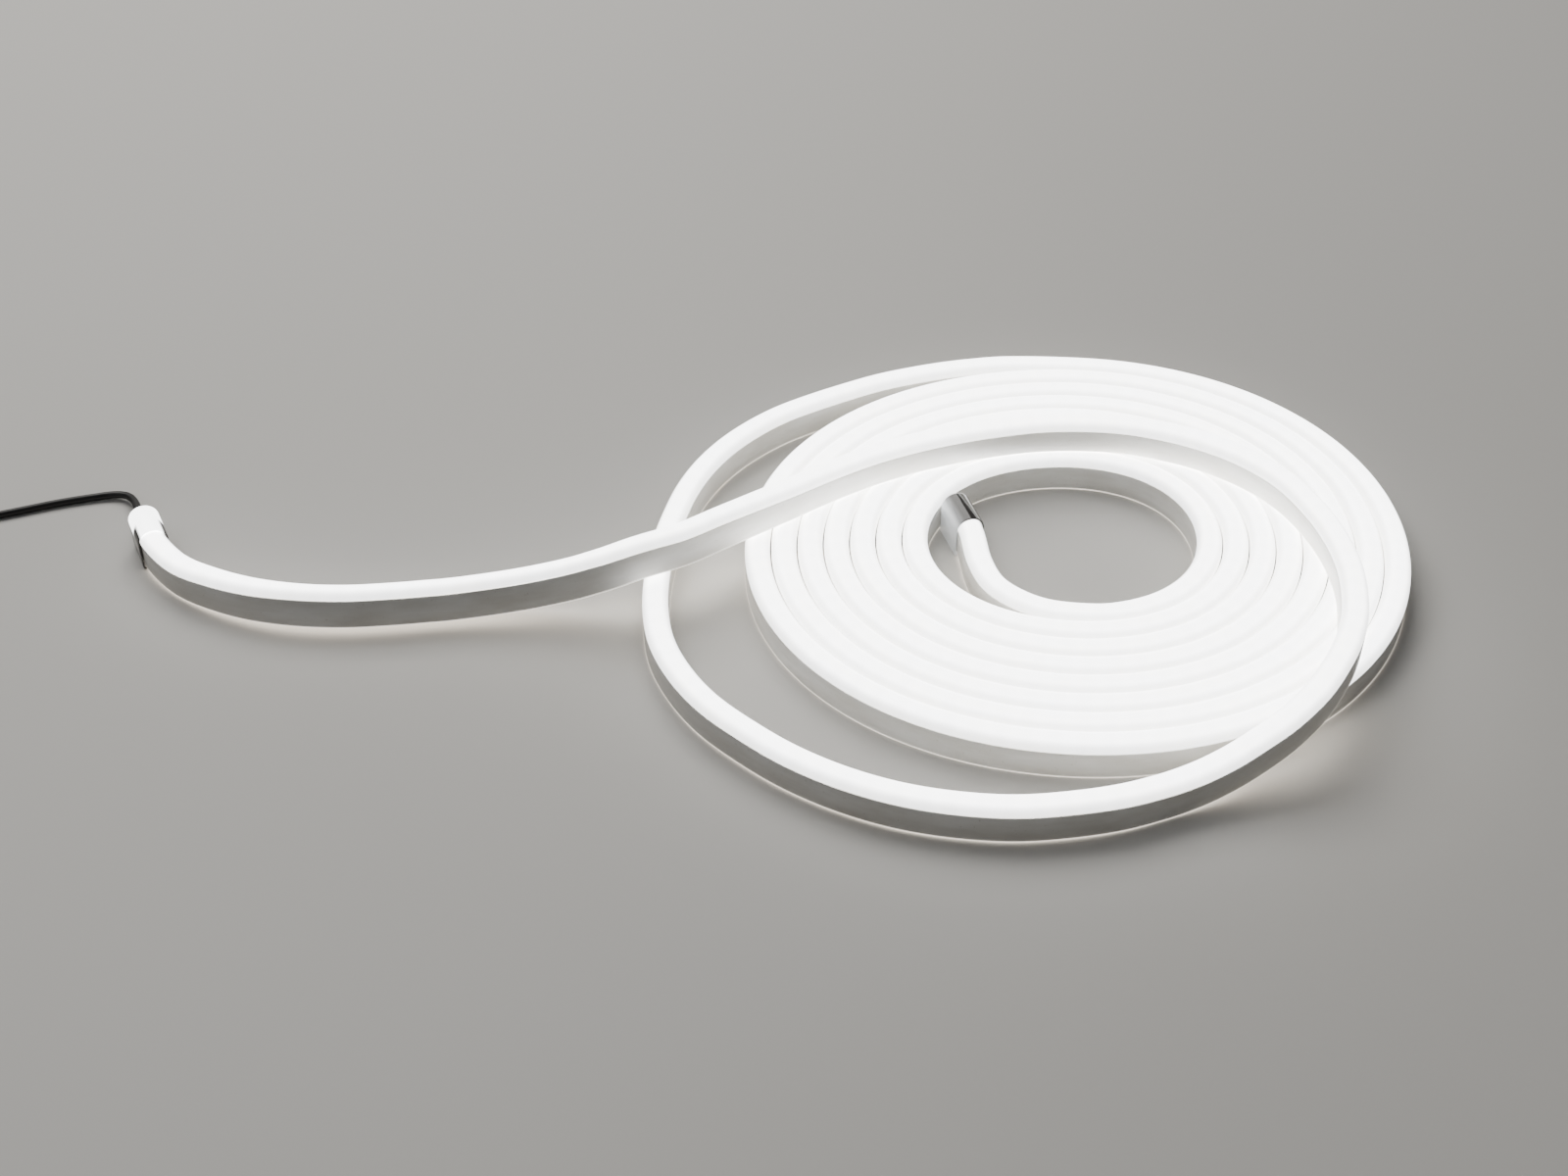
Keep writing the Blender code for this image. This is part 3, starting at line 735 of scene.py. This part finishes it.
jacket = run_tree(guide, jacket_tree(), "strip_jacket", Material=JACKET_WHITE)
diffuser = run_tree(guide, diffuser_tree(), "strip_diffuser", Material=DOME_MILK)
bpy.data.objects.remove(guide, do_unlink=True)
for piece, node in ((jacket, "jacket"), (diffuser, "diffuser")):
    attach(piece, "root")
    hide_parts(node)
    print(piece.name, "faces", len(piece.data.polygons))

# %% [markdown]
# ## End caps
# A cap is a thin moulded sleeve with the outline of the strip and a closed far end.
# One loft makes both: rings run along the outside, turn in over the mouth and go down
# the pocket.

# %% Cap shape
CAP_CORNER = 0.0009
CAP_ROUNDING = 0.0012
ARCH_SIDES = 20


def along_axis(origin, heading):
    """A function that places points by their distance along, across and above a line."""
    x, y = direction(heading)

    def place(along, across, up):
        east = origin[0] + x * along - y * across
        north = origin[1] + y * along + x * across
        return east, north, origin[2] + up

    return place


def cap_outline(grow):
    """Outline (across, up) of a capped strip, grown by a distance on all sides."""
    half = WIDTH / 2 + grow
    low = CAP_WALL + GAP - grow
    shoulder = JACKET_HEIGHT + CAP_WALL + GAP
    rise = STRIP_HEIGHT - JACKET_HEIGHT + grow

    def corner(side, start):
        middle = side * (half - CAP_CORNER)
        angles = [radians(start + 30 * k) for k in range(4)]
        return [(middle + CAP_CORNER * cos(a), low + CAP_CORNER + CAP_CORNER * sin(a))
                for a in angles]

    arch = [pi * k / ARCH_SIDES for k in range(ARCH_SIDES + 1)]
    dome = [(half * cos(a), shoulder + rise * sin(a)) for a in arch]
    return corner(1, -90) + dome + corner(-1, 180)


def loft(rings):
    """Closed solid through rings of equal point count."""
    mesh_data = bmesh.new()
    loops = [[mesh_data.verts.new(point) for point in ring] for ring in rings]
    count = len(loops[0])
    for near, far in zip(loops, loops[1:]):
        for k in range(count):
            after = (k + 1) % count
            mesh_data.faces.new((near[k], near[after], far[after], far[k]))
    mesh_data.faces.new(loops[0])
    mesh_data.faces.new(loops[-1])
    return mesh_data


def cap_mesh(mouth, heading):
    """Rings (along, grow) round the closed end, down the wall, over the lip, into the pocket."""
    place = along_axis((*mouth, 0.0), heading)
    outside = GAP + CAP_WALL
    steps = []
    for k in range(7):
        a = radians(90 - 15 * k)
        inset = CAP_ROUNDING * 0.55 * (1 - cos(a))
        steps.append((CAP_LENGTH - CAP_ROUNDING + CAP_ROUNDING * sin(a), outside - inset))
    steps += [(CAP_LENGTH * 0.55, outside), (0.0008, outside), (0.0002, outside - 0.00008),
              (0.0, outside - 0.0003), (0.0, GAP + 0.0001), (0.0003, GAP), (CAP_GRIP + GAP, GAP)]
    return loft([[place(along, *point) for point in cap_outline(grow)] for along, grow in steps])


# %% [markdown]
# ## Light in the caps
# The strip stays lit right to its cut end inside the outer cap. There the dome shines
# through the crown, and the hollow part behind the cut end fills with light. In the
# inner cap the strip is dark, and only the side next to the lit turn catches some of
# that turn's light. Both are painted as a share of light, from the distances to the
# middle of the mouth.

# %% Light shares
BEHIND_CUT = (CAP_GRIP - 0.0008, CAP_GRIP + 0.0012)
DOME_SIDE = (0.0036, 0.0044)
DOME_FOOT = (0.0098, 0.0118)
BESIDE_TURN = (0.0018, 0.0054)


def cap_distance(tree, place, mouth, axis):
    """How far the shaded point lies from the middle of the mouth, along one axis."""
    reach = add(tree, "ShaderNodeVectorMath", {"operation": "DOT_PRODUCT"}, _0=place,
                _1=(*axis, 0.0))
    start = mouth[0] * axis[0] + mouth[1] * axis[1]
    return maths(tree, "SUBTRACT", reach.outputs["Value"], start)


def lit_from_inside(tree, place, along, aside):
    """Share of light over the dome, and all round behind the strip's cut end."""
    behind = remap(tree, along, *BEHIND_CUT, curve="SMOOTHSTEP")
    dome = remap(tree, maths(tree, "ABSOLUTE", aside), *DOME_SIDE, 1.0, 0.0)
    height = add(tree, "ShaderNodeSeparateXYZ", None, Vector=place).outputs["Z"]
    above = remap(tree, height, *DOME_FOOT)
    return maths(tree, "MULTIPLY", maths(tree, "MAXIMUM", behind, dome), above)


def lit_from_beside(tree, place, along, aside):
    """Share of light on the side that faces the neighbouring turn."""
    return remap(tree, aside, *BESIDE_TURN, curve="SMOOTHSTEP")


# %% [markdown]
# ## Plastic of the caps
# Both caps are injection moulded polycarbonate, smoky, with a faint orange peel about
# 1 mm wide and fine wear from handling. The glow in them is drawn on an opaque body.

# %% Make the caps
CAP_IOR = 1.58
PEEL_SCALE = 1100.0
WEAR_SCALE = 260.0


def smoky_polycarbonate(name, mouth, heading, light_share, glow):
    material, tree, shader = new_material(name)
    place = object_place(tree)
    peel = noise(tree, place, PEEL_SCALE, 1.0)
    wear = noise(tree, place, WEAR_SCALE, 4.0, 0.6)
    smoke = blend(tree, wear, linear("#2E2C2A"), linear("#45423F"))
    ahead = direction(heading)
    along = cap_distance(tree, place, mouth, ahead)
    aside = cap_distance(tree, place, mouth, (-ahead[1], ahead[0]))
    share = light_share(tree, place, along, aside)
    feed(tree, shader, Base_Color=blend(tree, share, smoke, linear("#C4C8CC")),
         Roughness=remap(tree, wear, 0.35, 0.7, 0.10, 0.24),
         Normal=relief(tree, peel, 0.05, 0.0001),
         Emission_Color=linear("#F8F9F8"),
         Emission_Strength=maths(tree, "MULTIPLY", share, glow),
         IOR=CAP_IOR)
    return material


dark_cap = smoky_polycarbonate("smoky polycarbonate, beside the light", INNER_MOUTH,
                               INNER_HEADING, lit_from_beside, glow=0.20)
lit_cap = smoky_polycarbonate("smoky polycarbonate, lit from inside", OUTER_MOUTH,
                              OUTER_HEADING, lit_from_inside, glow=6.0)
cap_inner = new_piece("cap_inner", cap_mesh(INNER_MOUTH, INNER_HEADING), dark_cap)
cap_outer = new_piece("cap_outer", cap_mesh(OUTER_MOUTH, OUTER_HEADING), lit_cap)
for piece, node in ((cap_inner, "end_cap_inner"), (cap_outer, "end_cap_outer")):
    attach(piece, "root")
    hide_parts(node)
    print(piece.name, "faces", len(piece.data.polygons))

# %% [markdown]
# ## Black PVC and plastic of the lead
# Cord jackets are soft PVC with a satin skin, plug bodies are moulded PVC with a fine
# spark-eroded grain. Both are near black, and it is the broken gloss that shows them
# to be real. The cord's grain is drawn 0.3 mm wide, the plug's 0.4 mm.

# %% Black materials
PVC_IOR = 1.52
SCUFF_SCALE = 120.0


def black_pvc(name, low, high, grain):
    """Near black, with a gloss that varies from low to high and a grain in metres."""
    material, tree, shader = new_material(name)
    place = object_place(tree)
    fine = noise(tree, place, 1 / grain, 2.0)
    broad = noise(tree, place, SCUFF_SCALE, 3.0)
    feed(tree, shader, Base_Color=blend(tree, broad, linear("#141414"), linear("#242322")),
         Roughness=remap(tree, broad, 0.3, 0.7, low, high),
         Normal=relief(tree, fine, 0.15, 0.0001),
         IOR=PVC_IOR)
    return material


CORD_BLACK = black_pvc("black PVC, cord", 0.34, 0.50, 0.0003)
PLUG_BLACK = black_pvc("black PVC, moulded", 0.42, 0.60, 0.0004)
print("black materials:", CORD_BLACK.name, "/", PLUG_BLACK.name)

# %% [markdown]
# ## The power lead
# A poly curve with a round bevel is the plainest way to a cord of even thickness. It
# is turned into a mesh at once.

# %% Make the lead
BEVEL_STEPS = 3
WELD = 1e-6


def cord_tube(name, path, diameter, material):
    source = poly_curve(name + " guide", path)
    source.data.bevel_depth = diameter / 2
    source.data.bevel_resolution = BEVEL_STEPS
    source.data.use_fill_caps = True
    mesh_data = bmesh.new()
    mesh_data.from_mesh(evaluated_mesh(source))
    bpy.data.objects.remove(source, do_unlink=True)
    bmesh.ops.remove_doubles(mesh_data, verts=mesh_data.verts, dist=WELD)
    return new_piece(name, mesh_data, material, 60.0)


lead = cord_tube("power_lead_cord", LEAD_PATH, LEAD_DIAMETER, CORD_BLACK)
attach(lead, "root")
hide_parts("power_lead", "lead_coil", "lead_tail")
print(lead.name, "faces", len(lead.data.polygons))

# %% [markdown]
# ## Gland and plug
# The gland is a small tapered sleeve with moulded rings that keeps the cord from
# kinking at the cap. The plug is a turned shape with a ribbed neck and six grips for
# the fingers. Each profile is a list of distances along the axis and radii.

# %% Gland and plug
TURNED_SIDES = 32
CRISP = 30.0
GRIP_RADIUS = 0.0043
GRIP_START = 0.0170
GRIP_PITCH = 0.0016
GRIP = ((0.0, PLUG_RADIUS), (0.0003, GRIP_RADIUS), (0.0008, GRIP_RADIUS), (0.0011, PLUG_RADIUS))


def turned(profile, place):
    angles = [2 * pi * k / TURNED_SIDES for k in range(TURNED_SIDES)]
    return loft([[place(along, radius * cos(a), radius * sin(a)) for a in angles]
                 for along, radius in profile])


def ribbed(length, first, last, ribs, depth):
    """Tapering profile with moulded rings."""
    profile = []
    for k in range(ribs):
        for share, sink in ((0.0, 0.0), (0.55, 0.0), (0.62, depth), (0.92, depth)):
            t = (k + share) / ribs
            profile.append((length * t, first + (last - first) * t - sink))
    profile.append((length, last))
    return profile


def plug_profile():
    profile = ribbed(0.012, 0.0019, 0.0026, 5, 0.0003)
    profile += [(0.0121, 0.0040), (0.0126, 0.0045), (0.0132, PLUG_RADIUS), (0.0165, PLUG_RADIUS)]
    for k in range(6):
        profile += [(GRIP_START + GRIP_PITCH * k + along, radius) for along, radius in GRIP]
    profile += [(0.0300, PLUG_RADIUS), (0.0312, PLUG_RADIUS), (0.0317, 0.0044), (0.0320, 0.0040)]
    return profile


gland_at = step_from((*OUTER_MOUTH, GLAND_HEIGHT), OUTER_HEADING, CAP_LENGTH + GAP)
gland_profile = ribbed(GLAND_LENGTH, 0.0028, 0.0020, 3, 0.0002)
gland = new_piece("gland", turned(gland_profile, along_axis(gland_at, OUTER_HEADING)),
                  PLUG_BLACK, CRISP)
PLUG_PLACE = along_axis(step_from(LEAD_PATH[-1], LEAD_HEADING, GAP), LEAD_HEADING)
plug = new_piece("plug_body", turned(plug_profile(), PLUG_PLACE), PLUG_BLACK, CRISP)
print("faces: gland", len(gland.data.polygons), "plug", len(plug.data.polygons))

# %% [markdown]
# ## Barrel and tie
# The barrel is brass under bright nickel. Plugging in leaves dull spots on it, about
# half a millimetre across. The tie is a flat strap once round the bundle, where the
# cord changes seats.

# %% Barrel and tie
BARREL_RADIUS = 0.00275
GROOVE_RADIUS = 0.00262
BORE_RADIUS = 0.00105
BARREL_PROFILE = [
    (0.0323, BARREL_RADIUS), (0.0400, BARREL_RADIUS), (0.0402, GROOVE_RADIUS),
    (0.0405, GROOVE_RADIUS), (0.0407, BARREL_RADIUS), (0.0416, BARREL_RADIUS),
    (0.0418, GROOVE_RADIUS), (0.0418, 0.00120), (0.0416, BORE_RADIUS), (0.0333, BORE_RADIUS),
]
TIE_PROFILE = [(-0.0020, 0.00545), (-0.0018, 0.0059), (0.0018, 0.0059), (0.0020, 0.00545)]
TIE_SIDES = 28
SPOT_SCALE = 2000.0
LOWEST = 0.0001


def nickel_plate():
    material, tree, shader = new_material("nickel plate, plugged in often")
    spots = noise(tree, object_place(tree), SPOT_SCALE, 3.0)
    feed(tree, shader, Base_Color=linear("#C9C4BA"), Metallic=1.0,
         Roughness=remap(tree, spots, 0.35, 0.7, 0.14, 0.36))
    return material


def tie_strap():
    """Flat strap round the bundle, pressed flat where it would go into the floor."""
    centre = lead_coil_centre()
    middle = radians(LEAD_HEADING - 180) + 2 * pi * (CHANGE_START + CHANGE_SHARE / 2)
    rings = []
    for along, reach in TIE_PROFILE:
        heading = middle + along / LEAD_COIL_RADIUS
        ring = []
        for k in range(TIE_SIDES):
            a = 2 * pi * k / TIE_SIDES
            out = LEAD_COIL_RADIUS + reach * cos(a)
            height = max(LOWEST, BUNDLE_RADIUS + reach * sin(a))
            ring.append((centre[0] + out * cos(heading), centre[1] + out * sin(heading), height))
        rings.append(ring)
    return new_piece("lead_tie", loft(rings), PLUG_BLACK, CRISP)


barrel = new_piece("plug_barrel", turned(BARREL_PROFILE, PLUG_PLACE), nickel_plate(), CRISP)
tie = tie_strap()
for piece, node, slot in ((gland, "lead_gland", "black_plastic"),
                          (plug, "dc_plug", "black_plastic"),
                          (barrel, "dc_plug_barrel", "nickel_plate"),
                          (tie, None, "black_plastic")):
    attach(piece, "root")
    if node:
        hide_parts(node)
length_of(LEAD_PATH)
print("faces: barrel", len(barrel.data.polygons), "tie", len(tie.data.polygons))

# %% [markdown]
# ## Floor and light
# A plain pale floor and soft studio light, kept low, so that the strip's own light
# still shows round it. The floor has a little tooth, or it would look like paper.

# %% Floor and lamps
FLOOR_REACH = 4
TOOTH_SCALE = 400.0
ORIGIN = (0.0, 0.0, 0.0)


def floor_material():
    material, tree, shader = new_material("pale studio floor")
    tooth = noise(tree, object_place(tree), TOOTH_SCALE, 3.0)
    feed(tree, shader, Base_Color=linear("#DDDBD7"), Roughness=0.55,
         Normal=relief(tree, tooth, 0.05, 0.0003))
    return material


def add_floor():
    mesh_data = bmesh.new()
    corners = [(FLOOR_REACH * x, FLOOR_REACH * y, 0)
               for x, y in ((-1, -1), (1, -1), (1, 1), (-1, 1))]
    mesh_data.faces.new([mesh_data.verts.new(c) for c in corners])
    new_piece("floor", mesh_data, floor_material())


def add_world(strength):
    world = bpy.data.worlds.new("studio")
    world.use_nodes = True
    feed(world.node_tree, world.node_tree.nodes["Background"], Color=linear("#F3F4F6"),
         Strength=strength)
    bpy.context.scene.world = world


def add_lamp(name, place, target, size, power, colour):
    """A softbox at a place that looks at the target."""
    data = bpy.data.lights.new(name, "AREA")
    data.shape = "RECTANGLE"
    data.size, data.size_y = size
    data.energy = power
    data.color = linear(colour)[:3]
    lamp = bpy.data.objects.new(name, data)
    lamp.location = place
    lamp.rotation_euler = (Vector(target) - Vector(place)).to_track_quat("-Z", "Y").to_euler()
    bpy.context.scene.collection.objects.link(lamp)


add_floor()
add_world(strength=0.11)
add_lamp("softbox behind", (-0.5, 1.1, 1.3), ORIGIN, (1.8, 1.0), power=25.0, colour="#FFFDF9")
add_lamp("softbox left", (-1.3, -0.5, 0.9), ORIGIN, (0.9, 0.9), power=1.0, colour="#F5F8FF")
